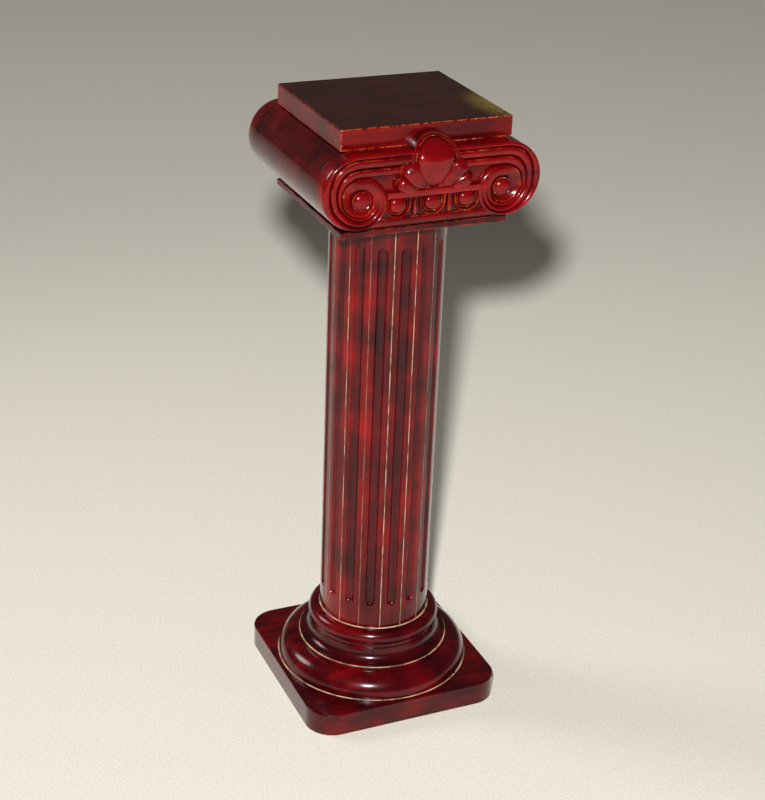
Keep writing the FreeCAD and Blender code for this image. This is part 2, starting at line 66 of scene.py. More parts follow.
def add(tree, kind, settings=None, inputs=None):
    """Adds a node: its settings, then its inputs as numbers, colours or other nodes."""
    node = tree.nodes.new(kind)
    for name, value in (settings or {}).items():
        if name == "stops":
            for _ in value[2:]:
                node.color_ramp.elements.new(0.5)
            for element, (position, code) in zip(node.color_ramp.elements, value):
                element.position = position
                element.color = paint(code)
        else:
            setattr(node, name, value)
    for name, given in (inputs or {}).items():
        if isinstance(given, bpy.types.Node):
            given = next(output for output in given.outputs if output.enabled)
        if isinstance(given, bpy.types.NodeSocket):
            tree.links.new(given, node.inputs[name])
        else:
            node.inputs[name].default_value = given
    return node


MATHS = "ShaderNodeMath"
VECTORS = "ShaderNodeVectorMath"
NOISE = "ShaderNodeTexNoise"
SPREAD = "ShaderNodeMapRange"
LAYER = "ShaderNodeMix"
PLUS, MINUS, TIMES, TIMES_PLUS, LOWER, HIGHER = (
    {"operation": word} for word in ("ADD", "SUBTRACT", "MULTIPLY", "MULTIPLY_ADD", "MINIMUM", "MAXIMUM"))
SOFT = {"interpolation_type": "SMOOTHSTEP"}
COLOURS = {"data_type": "RGBA"}
MM = 0.001
print("a stain of #8A0A10 is", tuple(round(v, 4) for v in paint("#8A0A10")))

# %% [markdown]
# ## Stained mahogany under gloss lacquer
#
# The whole stand is one finish: mahogany, wiped with a red stain that runs
# dark into the grain and into every hollow, under a thick gloss lacquer.
# The stain is the base colour, with fine grain, broader figure and small dark
# pores, all drawn out along the board. The real pores are finer than a pixel,
# so they are drawn about twice as wide. The lacquer is the shader's coat. A
# polyester varnish has a refraction of about 1.5; it is set lower here, until
# the pale floor veils the red no more than it does on the stand. The slow
# waviness of the lacquer is a bump of its own.

# %% The stain
GRAIN_WIDTH = 1.6 * MM
FIGURE_WIDTH = 14 * MM
PORE_WIDTH = 0.9 * MM
BLOTCH_WIDTH = 48 * MM
STRETCH = {"x": (0.03, 1, 1), "y": (1, 0.03, 1), "z": (1, 1, 0.03)}
DARKEST = "#180206"


def stained_wood(name, along, deep, middle, bright, shift=None):
    """A new material with the grain, figure, pores and blotches of stained mahogany."""
    material = bpy.data.materials.new(name)
    material.use_nodes = True
    tree = material.node_tree
    tree.nodes.clear()
    place = add(tree, "ShaderNodeTexCoord").outputs["Object"]
    drawn = add(tree, "ShaderNodeMapping", None, {"Vector": place, "Scale": STRETCH[along]})
    grain = add(tree, NOISE, None,
                {"Vector": drawn, "Scale": 1 / GRAIN_WIDTH, "Detail": 5.0, "Roughness": 0.62})
    figure = add(tree, NOISE, None,
                 {"Vector": drawn, "Scale": 1 / FIGURE_WIDTH, "Detail": 3.0, "Distortion": 0.4})
    pores = add(tree, NOISE, None, {"Vector": drawn, "Scale": 1 / PORE_WIDTH, "Detail": 2.0})
    blotch = add(tree, NOISE, None, {"Vector": place, "Scale": 1 / BLOTCH_WIDTH, "Detail": 3.0})
    fibre = add(tree, MATHS, PLUS, {0: grain, 1: figure})
    tone = add(tree, MATHS, TIMES_PLUS, {0: fibre, 1: 0.45, 2: -0.28})
    tone = add(tree, MATHS, TIMES_PLUS, {0: blotch, 1: 0.66, 2: tone})
    if shift:
        tone = add(tree, MATHS, PLUS, {0: tone, 1: shift(tree, place)})
    ramp = {"stops": ((0.30, deep), (0.5, middle), (0.74, bright))}
    stain = add(tree, "ShaderNodeValToRGB", ramp, {"Fac": tone})
    pits = add(tree, SPREAD, SOFT, {"Value": pores, "From Min": 0.62, "From Max": 0.72, "To Max": 0.5})
    stain = add(tree, LAYER, COLOURS, {0: pits, 6: stain, 7: paint(DARKEST)})
    return material, tree, place, stain, grain, blotch


# %% The lacquer
WAVE_WIDTH = 11 * MM
WAVE_HEIGHT = 0.09 * MM
GRAIN_RELIEF = 0.03 * MM


def lacquer(tree, place, stain, grain, blotch, dull=0.0, coat=1.0):
    """Puts the gloss lacquer over a stain colour, duller where dull is high."""
    waves = add(tree, NOISE, None, {"Vector": place, "Scale": 1 / WAVE_WIDTH, "Detail": 1.0})
    rough = add(tree, MATHS, TIMES_PLUS, {0: blotch, 1: 0.2, 2: 0.12})
    rough = add(tree, MATHS, TIMES_PLUS, {0: dull, 1: 0.3, 2: rough})
    under = add(tree, "ShaderNodeBump", None, {"Height": grain, "Strength": 0.5, "Distance": GRAIN_RELIEF})
    skin = add(tree, "ShaderNodeBump", None, {"Height": waves, "Strength": 0.6, "Distance": WAVE_HEIGHT})
    shader = add(tree, "ShaderNodeBsdfPrincipled", None,
                 {"Base Color": stain, "Roughness": rough, "Normal": under,
                  "IOR": 1.5, "Specular IOR Level": 0.13,
                  "Coat Weight": coat, "Coat Roughness": 0.13, "Coat IOR": 1.3, "Coat Normal": skin})
    add(tree, "ShaderNodeOutputMaterial", None, {"Surface": shader})


CREAM = paint("#D8BE98")
ORANGE = paint("#A8380E")
print("a wave of the lacquer is", WAVE_WIDTH / MM, "mm wide and", WAVE_HEIGHT / MM, "mm high")

# %% [markdown]
# ## Pale hairlines where the pieces meet
#
# The lacquer has cracked along the glued joints, and the crack shows as a
# cream line. A joint between two turned rings is a level circle, so its mask
# is the distance from that circle. A joint between two staves is a line up
# the shaft, so its mask is the distance round the shaft from the nearest of
# sixteen angles, and each has a strength of its own. A noise breaks all of
# them up, as old glue lines are.

# %% Masks for joints
STAVES = 16
SHAFT_TURN = math.radians(6.0)
SHAFT_RADIUS = 82.5 * MM
STRENGTH_SEED = 1452.5


def section_of(tree, place):
    """A point's distance from the upright axis, and that with its height as one vector."""
    level = add(tree, VECTORS, TIMES, {0: place, 1: (1, 1, 0)})
    reach = add(tree, VECTORS, {"operation": "LENGTH"}, {0: level})
    height = add(tree, "ShaderNodeSeparateXYZ", None, {"Vector": place}).outputs["Z"]
    section = add(tree, "ShaderNodeCombineXYZ", None, {"X": reach, "Y": height})
    return reach, section


def broken(tree, place, size, low, high, least=0.0):
    """Patches that break a line up."""
    noise = add(tree, NOISE, None, {"Vector": place, "Scale": 1 / size, "Detail": 4.0, "Roughness": 0.6})
    return add(tree, SPREAD, SOFT, {"Value": noise, "From Min": low, "From Max": high, "To Min": least})


def ring_line(tree, section, radius, level, width):
    """The hairline round a joint between turned pieces."""
    gap = add(tree, VECTORS, {"operation": "DISTANCE"}, {0: section, 1: (radius * MM, level * MM, 0)})
    return add(tree, SPREAD, SOFT, {"Value": gap, "From Min": width * MM, "From Max": 0.4 * width * MM})


def staves_round(tree, place):
    """How many staves round the shaft a point is, counted from the first joint."""
    split = add(tree, "ShaderNodeSeparateXYZ", None, {"Vector": place})
    angle = add(tree, MATHS, {"operation": "ARCTAN2"}, {0: split.outputs["Y"], 1: split.outputs["X"]})
    turned = add(tree, MATHS, MINUS, {0: angle, 1: SHAFT_TURN})
    return add(tree, MATHS, TIMES, {0: turned, 1: STAVES / math.tau})


def stave_joints(tree, place):
    """The lines between the staves."""
    steps = staves_round(tree, place)
    nearest = add(tree, MATHS, {"operation": "ROUND"}, {0: steps})
    off = add(tree, MATHS, MINUS, {0: steps, 1: nearest})
    off = add(tree, MATHS, {"operation": "ABSOLUTE"}, {0: off})
    width = STAVES / math.tau / SHAFT_RADIUS
    line = add(tree, SPREAD, SOFT,
               {"Value": off, "From Min": 0.75 * MM * width, "From Max": 0.35 * MM * width})
    number = add(tree, MATHS, PLUS, {0: nearest, 1: STRENGTH_SEED})
    own = add(tree, "ShaderNodeTexWhiteNoise", {"noise_dimensions": "1D"}, {"W": number})
    own = add(tree, SPREAD, SOFT, {"Value": own, "From Min": 0.1, "From Max": 0.85, "To Min": 0.25})
    line = add(tree, MATHS, TIMES, {0: line, 1: own})
    return add(tree, MATHS, TIMES, {0: line, 1: broken(tree, place, 26 * MM, 0.38, 0.60, 0.25)})


print(STAVES, "staves,", round(math.tau / STAVES * SHAFT_RADIUS / MM, 1), "mm apart round the shaft")

# %% [markdown]
# ## The finishes, one for each kind of piece
#
# Every piece has the same stain and lacquer, but its grain runs its own way
# and it shows age in its own places. The rings are turned from boards laid
# flat, so their grain runs across. Their cove is painted darker, a painted
# shade; the shaft's flutes get painted shade over stain pooled in them.


# %% The turned base
# Distance from the axis and height, in millimetres.
PLINTH_JOINT = (145.0, 35.0)
RING_JOINT = (113.0, 71.7)
SHAFT_JOINT = (83.0, 121.5)
COVE = (104.0, 80.0)
COVE_SHADE = 16.0


def turned_finish():
    """Both turned rings: painted shade in the cove, pale along the joints."""
    material, tree, place, stain, grain, blotch = stained_wood(
        "mahogany_turned_gloss_lacquer", "x", "#220206", "#460309", "#74050A")
    section = section_of(tree, place)[1]
    # Painted shade: the cove is darkened towards the darkest stain colour.
    hollow = ring_line(tree, section, *COVE, COVE_SHADE)
    hollow = add(tree, MATHS, TIMES, {0: hollow, 1: 0.55})
    stain = add(tree, LAYER, COLOURS, {0: hollow, 6: stain, 7: paint(DARKEST)})
    lines = add(tree, MATHS, HIGHER, {0: ring_line(tree, section, *RING_JOINT, 1.2),
                                      1: ring_line(tree, section, *PLINTH_JOINT, 1.2)})
    lines = add(tree, MATHS, HIGHER, {0: lines, 1: ring_line(tree, section, *SHAFT_JOINT, 1.2)})
    lines = add(tree, MATHS, TIMES, {0: lines, 1: broken(tree, place, 24 * MM, 0.38, 0.62, 0.3)})
    stain = add(tree, LAYER, COLOURS, {0: lines, 6: stain, 7: CREAM})
    lacquer(tree, place, stain, grain, blotch, lines)
    return material


def plinth_finish():
    """The square board, with the pale crack under the lower ring."""
    material, tree, place, stain, grain, blotch = stained_wood(
        "mahogany_board_gloss_lacquer", "x", "#240205", "#460409", "#78080A")
    section = section_of(tree, place)[1]
    line = add(tree, MATHS, TIMES, {0: ring_line(tree, section, *PLINTH_JOINT, 1.3),
                                    1: broken(tree, place, 24 * MM, 0.38, 0.62, 0.3)})
    stain = add(tree, LAYER, COLOURS, {0: line, 6: stain, 7: CREAM})
    lacquer(tree, place, stain, grain, blotch, line)
    return material


# %% The shaft
FLUTE_EDGE = 82.2 * MM
FLUTE_FLOOR = 78.2 * MM


def stave_tone(tree, place):
    """Each stave is cut from its own board, a little darker or brighter."""
    own = add(tree, MATHS, {"operation": "FLOOR"}, {0: staves_round(tree, place)})
    own = add(tree, "ShaderNodeTexWhiteNoise", {"noise_dimensions": "1D"}, {"W": own})
    return add(tree, MATHS, TIMES_PLUS, {0: own, 1: 0.10, 2: -0.05})


def shaft_finish():
    """The staves: stain pooled and painted shade in the flutes, pale along the joints."""
    material, tree, place, stain, grain, blotch = stained_wood(
        "mahogany_stave_gloss_lacquer", "z", "#240205", "#5A0308", "#900508", stave_tone)
    reach, section = section_of(tree, place)
    # The flutes are painted darker: stain pooled in them, and painted shade.
    hollow = add(tree, SPREAD, SOFT,
                 {"Value": reach, "From Min": FLUTE_EDGE, "From Max": FLUTE_FLOOR, "To Max": 0.5})
    stain = add(tree, LAYER, COLOURS, {0: hollow, 6: stain, 7: paint("#22030A")})
    line = stave_joints(tree, place)
    stain = add(tree, LAYER, COLOURS, {0: line, 6: stain, 7: paint("#D2AC8E")})
    foot = add(tree, MATHS, TIMES, {0: ring_line(tree, section, SHAFT_RADIUS / MM, SHAFT_JOINT[1], 1.6),
                                    1: broken(tree, place, 25 * MM, 0.36, 0.56, 0.3)})
    stain = add(tree, LAYER, COLOURS, {0: foot, 6: stain, 7: CREAM})
    lacquer(tree, place, stain, grain, blotch, line)
    return material


# %% [markdown]
# ## Boards with worn edges
#
# The sharp edges of a board lose their stain first. On a box a point lies near
# an edge when two of its three distances from the faces are small, so the
# middle one of the three tells how near it is.


# %% The capital's boards
def edge_gap(tree, place, low, high):
    """How far a point on a box is from the box's nearest edge."""
    middle = [(a + b) / 2 * MM for a, b in zip(low, high)]
    half = [(b - a) / 2 * MM for a, b in zip(low, high)]
    offset = add(tree, VECTORS, MINUS, {0: place, 1: middle})
    offset = add(tree, VECTORS, {"operation": "ABSOLUTE"}, {0: offset})
    gaps = add(tree, VECTORS, MINUS, {0: half, 1: offset})
    gaps = add(tree, VECTORS, {"operation": "ABSOLUTE"}, {0: gaps})
    gaps = add(tree, "ShaderNodeSeparateXYZ", None, {"Vector": gaps})
    smaller = add(tree, MATHS, LOWER, {0: gaps.outputs["X"], 1: gaps.outputs["Y"]})
    larger = add(tree, MATHS, HIGHER, {0: gaps.outputs["X"], 1: gaps.outputs["Y"]})
    larger = add(tree, MATHS, LOWER, {0: larger, 1: gaps.outputs["Z"]})
    return add(tree, MATHS, HIGHER, {0: smaller, 1: larger})


def worn_edge(tree, place, low, high, width, patch):
    """Where a board's edges are rubbed down to the wood."""
    gap = edge_gap(tree, place, low, high)
    edge = add(tree, SPREAD, SOFT, {"Value": gap, "From Min": width * MM, "From Max": 0.3 * width * MM})
    return add(tree, MATHS, TIMES, {0: edge, 1: broken(tree, place, patch * MM, 0.40, 0.60)})


NECK_BOX = ((-121.5, -119.0, 768.4), (121.5, 119.0, 776.4))


def capital_finish():
    """The neck plate, the core and the side rolls; only the plate has worn edges."""
    material, tree, place, stain, grain, blotch = stained_wood(
        "mahogany_capital_gloss_lacquer", "y", "#1C0205", "#480308", "#6C0509")
    edge = worn_edge(tree, place, *NECK_BOX, 1.6, 14)
    edge = add(tree, MATHS, TIMES, {0: edge, 1: 0.7})
    stain = add(tree, LAYER, COLOURS, {0: edge, 6: stain, 7: ORANGE})
    lacquer(tree, place, stain, grain, blotch, edge)
    return material


# %% The board on top
TOP_BOX = ((-123.0, -116.0, 886.4), (123.0, 116.0, 914.4))
RUBBED = (124 * MM, -62 * MM, 914.4 * MM)


def top_finish():
    """The top board: dull on top and painted brown there, painted shade and a painted reflection of a dim
    room; worn along its front edges.
    """
    material, tree, place, stain, grain, blotch = stained_wood(
        "mahogany_top_board_worn_lacquer", "x", "#360407", "#660509", "#86080A")
    split = add(tree, "ShaderNodeSeparateXYZ", None, {"Vector": place})
    upper = add(tree, SPREAD, SOFT,
                {"Value": split.outputs["Z"], "From Min": 912.6 * MM, "From Max": 914.0 * MM})
    tone = add(tree, MATHS, TIMES, {0: blotch, 1: 0.3})
    tone = add(tree, MATHS, TIMES_PLUS, {0: grain, 1: 0.7, 2: tone})
    # Painted shade and a painted reflection of a dim room: the top face is painted dull brown over the red
    # stain.
    ramp = {"stops": ((0.32, "#1E0C0C"), (0.5, "#341715"), (0.7, "#4E2620"))}
    painted_shade_and_reflection = add(tree, "ShaderNodeValToRGB", ramp, {"Fac": tone})
    painted_shade_and_reflection_share = add(tree, MATHS, TIMES, {0: upper, 1: 0.92})
    stain = add(tree, LAYER, COLOURS, {0: painted_shade_and_reflection_share, 6: stain, 7: painted_shade_and_reflection})
    corner = add(tree, VECTORS, MINUS, {0: place, 1: RUBBED})
    corner = add(tree, "ShaderNodeMapping", None, {"Vector": corner, "Scale": (1.9, 1.0, 1.0)})
    corner = add(tree, VECTORS, {"operation": "LENGTH"}, {0: corner})
    rubbed = add(tree, SPREAD, SOFT, {"Value": corner, "From Min": 86 * MM, "From Max": 14 * MM})
    rubbed = add(tree, MATHS, TIMES, {0: rubbed, 1: upper})
    rubbed = add(tree, MATHS, TIMES, {0: rubbed, 1: broken(tree, place, 7 * MM, 0.28, 0.56, 0.3)})
    stain = add(tree, LAYER, COLOURS, {0: rubbed, 6: stain, 7: paint("#8E7A30")})
    edge = worn_edge(tree, place, *TOP_BOX, 2.1, 9)
    front = add(tree, SPREAD, SOFT, {"Value": split.outputs["Y"], "From Min": -108 * MM,
                                     "From Max": -114 * MM, "To Min": 0.3})
    edge = add(tree, MATHS, TIMES, {0: edge, 1: front})
    stain = add(tree, LAYER, COLOURS, {0: edge, 6: stain, 7: paint("#C04A1C")})
    flecks = add(tree, MATHS, TIMES, {0: edge, 1: broken(tree, place, 4 * MM, 0.58, 0.66)})
    stain = add(tree, LAYER, COLOURS, {0: flecks, 6: stain, 7: CREAM})
    dull = add(tree, MATHS, TIMES, {0: upper, 1: 0.7})
    lacquer(tree, place, stain, grain, blotch, dull, coat=0.8)
    return material


# %% [markdown]
# ## The carving's finish, and bare wood
#
# Each point of the carving carries two numbers, made with its mesh: how worn
# it is, because it stands proud, and how sunk, because it lies in a groove.
# The grooves are painted almost black: stain run into them, and painted
# shade. The proud edges are rubbed to orange and, here and there, painted
# cream: bare wood and painted highlight. The blocks inside the shaft were
# never finished.


# %% The carving and the hidden blocks
def carved_finish():
    """The carving: almost black in its grooves from stain and painted shade, rubbed on its ridges, with
    painted highlights.
    """
    material, tree, place, stain, grain, blotch = stained_wood(
        "mahogany_carving_gloss_lacquer", "x", "#420207", "#760308", "#9A0609")
    worn = add(tree, "ShaderNodeAttribute", {"attribute_name": "worn"}).outputs["Fac"]
    sunk = add(tree, "ShaderNodeAttribute", {"attribute_name": "sunk"}).outputs["Fac"]
    # The sunk number paints the grooves and the relief's walls near black: stain pooled there, and painted
    # shade.
    dark = add(tree, MATHS, TIMES, {0: sunk, 1: 0.92})
    stain = add(tree, LAYER, COLOURS, {0: dark, 6: stain, 7: paint("#0E0104")})
    high = add(tree, MATHS, TIMES, {0: worn, 1: broken(tree, place, 11 * MM, 0.36, 0.60, 0.15)})
    orange = add(tree, SPREAD, SOFT, {"Value": high, "From Min": 0.22, "From Max": 0.95, "To Max": 0.85})
    stain = add(tree, LAYER, COLOURS, {0: orange, 6: stain, 7: ORANGE})
    # Painted cream on the highest rubbed ridges: bare wood, and painted highlight.
    pale = add(tree, MATHS, TIMES, {0: high, 1: broken(tree, place, 6 * MM, 0.50, 0.62)})
    pale = add(tree, SPREAD, SOFT, {"Value": pale, "From Min": 0.55, "From Max": 0.95, "To Max": 0.85})
    stain = add(tree, LAYER, COLOURS, {0: pale, 6: stain, 7: CREAM})
    lacquer(tree, place, stain, grain, blotch)
    return material


def block_finish():
    """The blocks inside the shaft, sawn and left bare."""
    material, tree, _, stain, _, _ = stained_wood(
        "bare_sawn_mahogany_block", "x", "#7A4A32", "#94603F", "#AE7A55")
    shader = add(tree, "ShaderNodeBsdfPrincipled", None,
                 {"Base Color": stain, "IOR": 1.45, "Roughness": 0.8})
    add(tree, "ShaderNodeOutputMaterial", None, {"Surface": shader})
    return material


finishes = {
    "plinth_lacquer": plinth_finish(),
    "turned_lacquer": turned_finish(),
    "shaft_lacquer": shaft_finish(),
    "capital_lacquer": capital_finish(),
    "carved_lacquer": carved_finish(),
    "top_lacquer": top_finish(),
    "bare_wood": block_finish(),
}
print(len(finishes), "finishes:", ", ".join(m.name for m in finishes.values()))

# %% [markdown]
# ## Putting the finishes on the solids
#
# Each solid of the CAD model has one material slot. Its place and its mesh
# stay as they are; only the material in the slot changes.

# %% Solids and their finishes
SLOT_OF = {
    "plinth": "plinth_lacquer",
    "lower_base_ring": "turned_lacquer",
    "upper_base_ring": "turned_lacquer",
    "neck_plate": "capital_lacquer",
    "capital_core": "capital_lacquer",
    "left_bolster": "capital_lacquer",
    "right_bolster": "capital_lacquer",
    "abacus": "top_lacquer",
    "shaft_foot_block": "bare_wood",
    "shaft_head_block": "bare_wood",
}
for number in range(1, STAVES + 1):
    SLOT_OF[f"stave_{number:02d}"] = "shaft_lacquer"
for node, slot in SLOT_OF.items():
    solid = bpy.data.objects[node]
    if not solid.material_slots:
        solid.data.materials.append(None)
    for place in solid.material_slots:
        place.material = finishes[slot]
print(len(SLOT_OF), "solids have their finish")

# %% [markdown]
# ## Carving as closed strips
#
# The carving is shallow relief on a flat panel, so it is built from closed
# strips: a grid of points for the front surface, and walls that go straight
# back into the capital. Each point also keeps two numbers for the finish:
# how worn it is, because it stands proud, and how sunk, because it lies in a
# groove.


# %% A carver's workpiece
BACK = 116.0
GROUND = 134.0


class Carving:
    """Collects closed strips, in millimetres: across, forward and up."""

    def __init__(self):
        self.points = []
        self.faces = []
        self.worn = []
        self.sunk = []

    def strip(self, front, worn, sunk, back=BACK):
        """A grid of front points (rows, columns, 3), closed by walls to the back plane."""
        rows, columns = front.shape[:2]
        start = len(self.points)
        self.points.extend(front.reshape(-1, 3).tolist())
        self.worn.extend(np.broadcast_to(worn, (rows, columns)).ravel().tolist())
        self.sunk.extend(np.broadcast_to(sunk, (rows, columns)).ravel().tolist())

        def at(row, column):
            return start + row * columns + column

        for row in range(rows - 1):
            for column in range(columns - 1):
                self.faces.append((at(row, column), at(row, column + 1),
                                   at(row + 1, column + 1), at(row + 1, column)))
        rim = [at(0, c) for c in range(columns)]
        rim += [at(r, columns - 1) for r in range(1, rows)]
        rim += [at(rows - 1, c) for c in range(columns - 2, -1, -1)]
        rim += [at(r, 0) for r in range(rows - 2, 0, -1)]
        self.close(rim, back)

    def close(self, rim, back):
        """Walls from a rim of points to the back plane, and the back face."""
        base = len(self.points)
        for index in rim:
            x, _, z = self.points[index]
            self.points.append([x, back, z])
            self.worn.append(0.0)
            # The walls get half the groove darkening: painted shade on the relief's sides.
            self.sunk.append(0.5)
        count = len(rim)
        for i in range(count):
            j = (i + 1) % count
            self.faces.append((rim[i], base + i, base + j, rim[j]))
        self.faces.append(tuple(base + i for i in range(count)))

    def dome(self, rings, worn, sunk, back=BACK):
        """Closed rings of points round a middle point, the last ring being the middle."""
        start = len(self.points)
        count = rings.shape[1]
        for k in range(len(rings) - 1):
            self.points.extend(rings[k].tolist())
            self.worn.extend(np.broadcast_to(worn[k], (count,)).tolist())
            self.sunk.extend(np.broadcast_to(sunk[k], (count,)).tolist())
        self.points.append(rings[-1].mean(axis=0).tolist())
        self.worn.append(0.0)
        self.sunk.append(0.0)
        middle = len(self.points) - 1
        for k in range(len(rings) - 1):
            for i in range(count):
                j = (i + 1) % count
                a, b = start + k * count + i, start + k * count + j
                if k == len(rings) - 2:
                    self.faces.append((a, b, middle))
                else:
                    self.faces.append((a, b, b + count, a + count))
        self.close([start + i for i in range(count)], back)

    def mirrored(self):
        """The same carving with left and right changed over."""
        other = Carving()
        other.points = [[-x, y, z] for x, y, z in self.points]
        other.faces = [tuple(reversed(f)) for f in self.faces]
        other.worn = list(self.worn)
        other.sunk = list(self.sunk)
        return other

    def join(self, other):
        """Takes in another carving's strips."""
        start = len(self.points)
        self.points += other.points
        self.faces += [tuple(i + start for i in f) for f in other.faces]
        self.worn += other.worn
        self.sunk += other.sunk


SHARP_EDGE = math.radians(38)


def finish_piece(name, carving, slot, node, back_side=False):
    """Makes one mesh object from a carving, for the front or turned to the back."""
    turn = 1.0 if back_side else -1.0
    points = [(-turn * x * MM, turn * forward * MM, z * MM) for x, forward, z in carving.points]
    mesh = bpy.data.meshes.new(name)
    mesh.from_pydata(points, [], carving.faces)
    for label, values in (("worn", carving.worn), ("sunk", carving.sunk)):
        layer = mesh.attributes.new(label, "FLOAT", "POINT")
        layer.data.foreach_set("value", values)
    work = bmesh.new()
    work.from_mesh(mesh)
    bmesh.ops.dissolve_degenerate(work, edges=work.edges, dist=1e-7)
    bmesh.ops.recalc_face_normals(work, faces=work.faces)
    work.to_mesh(mesh)
    work.free()
    mesh.shade_smooth()
    mesh.set_sharp_from_angle(angle=SHARP_EDGE)
    mesh.materials.append(finishes[slot])
    piece = bpy.data.objects.new(name, mesh)
    bpy.context.scene.collection.objects.link(piece)
    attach(piece, "root")
    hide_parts(node)
    print(name, len(mesh.polygons), "faces")


# %% [markdown]
# ## The scrolls
#
# Seen from the front, three rolls run along the top of the panel, curl down
# round each eye and die away under it, while their outer edge goes on inwards
# as the rim of a bowl. All of it follows one rule, a spiral, so each line is
# a short table of radii at angles round the eye, counted from straight up
# and outwards. A ribbon between two such lines is one strip.

# %% The spiral lines
EYE = (101.0, 824.5)
ROLL_AXIS = (106.5, 836.0)
ROLL_RADIUS = 50.3
ROLL_TOP = 886.1
DEGREES = np.arange(-60, 781)


def smooth_table(angles, radii, soften=9):
    """A smooth line of radii for every degree, from a short table."""
    line = np.interp(DEGREES, angles, radii)
    kernel = np.hanning(2 * soften + 3)[1:-1]
    padded = np.pad(line, soften, mode="edge")
    return np.convolve(padded, kernel / kernel.sum(), mode="valid")


def roll_outline(angle):
    """How far the round roll's edge is from the eye, at an angle from straight up."""
    out, rise = ROLL_AXIS[0] - EYE[0], ROLL_AXIS[1] - EYE[1]
    s, c = math.sin(math.radians(angle)), math.cos(math.radians(angle))
    along, beside = out * s + rise * c, out * c - rise * s
    return along + math.sqrt(ROLL_RADIUS ** 2 - beside ** 2)


def level(height, angle):
    """The radius of a level line at a height over the eye."""
    return height / math.cos(math.radians(angle))


ROUND = [(a, roll_outline(a)) for a in range(10, 221, 10)]
SPIRAL = ([(a, level(ROLL_TOP - EYE[1], a)) for a in (-40, -20, -5)] + ROUND
          + [(235, 37.8), (253, 37.0), (273, 36.0), (293, 34.8), (310, 33.6), (335, 32.2),
             (360, 31.2), (385, 31.6), (400, 31.6), (412, 31.0), (428, 29.4), (441, 28.2),
             (457, 26.6), (476, 24.8), (492, 23.3), (513, 22.2), (532, 21.4), (556, 20.6),
             (580, 19.6), (610, 18.2), (640, 17.0), (680, 16.0), (720, 15.4)])
LINE_ONE = ([(a, level(55.4, a)) for a in (-40, -20, 0, 10)]
            + [(23, 56.6), (33, 56.1), (41, 54.6), (52, 51.6), (64, 48.2), (76, 45.2),
               (86, 43.2), (102, 40.8), (118, 38.4), (133, 36.6), (154, 35.0), (176, 34.4),
               (196, 33.8), (219, 32.6), (237, 31.2), (260, 29.6), (300, 27.6), (360, 26.0)])
LINE_TWO = ([(a, level(42.4, a)) for a in (-40, -20, 0, 8)]
            + [(25, 43.4), (38, 42.8), (52, 40.2), (67, 37.0), (81, 34.2), (96, 31.6),
               (113, 29.2), (131, 27.6), (154, 26.8), (176, 26.4), (196, 26.0), (219, 25.4),
               (240, 24.4), (270, 23.0), (310, 21.5), (360, 20.0)])
EDGE_HEIGHTS = [(-60, 3.0), (270, 3.0), (360, 3.2), (450, 3.0), (540, 2.4), (630, 1.4), (780, 1.0)]

spiral = smooth_table(*zip(*SPIRAL))
line_one = smooth_table(*zip(*LINE_ONE))
line_two = smooth_table(*zip(*LINE_TWO))
edge_height = smooth_table(*zip(*EDGE_HEIGHTS))


def read(line, angle):
    """A line's value at an angle."""
    return float(np.interp(angle, DEGREES, line))


print("the spiral runs from", round(read(spiral, 90), 1), "mm to",
      round(read(spiral, 720), 1), "mm from the eye")

# %% Heights across the ribbons
EYE_RADIUS = 13.6
EYE_FOOT = 1.0
ACROSS = np.array([0, 0.03, 0.08, 0.14, 0.21, 0.3, 0.4, 0.5, 0.6, 0.7, 0.8, 0.88, 0.94, 0.975, 1.0])
# Height at the outer line, at the crest and at the inner line, and where the crest is.
ROLLS = ((3.0, 9.2, 2.2, 0.42), (2.2, 8.8, 2.4, 0.36), (2.4, 8.2, 3.0, 0.34))


def bead(share, start, crest, end, place):
    """The height across a round bead that is steep at both of its sides."""
    rising = start + (crest - start) * np.sqrt(np.clip(1 - (1 - share / place) ** 2, 0, 1))
    falling = end + (crest - end) * np.clip(1 - ((share - place) / (1 - place)) ** 2, 0, 1) ** 0.62
    return np.where(share < place, rising, falling)


def broad_roll(radius, outer):
    """The height across the last, broad part of the ribbon, down to the eye."""
    share = np.clip((outer - radius) / (outer - EYE_RADIUS), 0, 1)
    return bead(share, 3.0, 8.6, EYE_FOOT, 0.4)


def bowl(share, start):
    """The height across the bowl: a sharp rim, then a hollow down to the eye."""
    rim = start + (7.4 - start) * np.sin(np.clip(share / 0.09, 0, 1) * math.pi / 2)
    hollow = EYE_FOOT + (7.4 - EYE_FOOT) * np.clip(1 - share, 0, 1) ** 1.5
    return np.where(share < 0.09, rim, hollow)


def fade(angle, start, end):
    """A smooth step from 0 at the start angle to 1 at the end angle."""
    t = min(max((angle - start) / (end - start), 0.0), 1.0)
    return t * t * (3 - 2 * t)


def eye_point(radius, angle, height):
    """A point by its radius and angle round the eye of the right-hand scroll."""
    a = math.radians(angle)
    return (EYE[0] + radius * math.sin(a), GROUND + height, EYE[1] + radius * math.cos(a))


def outer_turn(angle):
    """Radii, heights, wear and depth across the three rolls at one angle."""
    edges = (read(spiral, angle), read(line_one, angle), read(line_two, angle), read(spiral, angle + 360))
    gone = fade(angle, 205, 285)
    radii, heights, worn, sunk = [], [], [], []
    for k, (start, crest, end, place) in enumerate(ROLLS):
        share = ACROSS if k == 0 else ACROSS[1:]
        if k == 0:
            start = read(edge_height, angle)
        if k == 2:
            end = read(edge_height, angle + 360)
        radius = edges[k] + (edges[k + 1] - edges[k]) * share
        height = bead(share, start, crest, end, place)
        broad = broad_roll(radius, edges[0])
        radii.extend(radius)
        heights.extend(height * (1 - gone) + broad * gone)
        rim = 0.0 if k == 0 else 0.75
        worn.extend(rim * np.exp(-((share - 0.12) / 0.10) ** 2) * (1 - gone))
        dark = np.exp(-((1 - share) / 0.10) ** 2) + (np.exp(-(share / 0.06) ** 2) if k else 0)
        sunk.extend(np.clip(dark, 0, 1) * (1 - gone))
    return radii, heights, worn, sunk


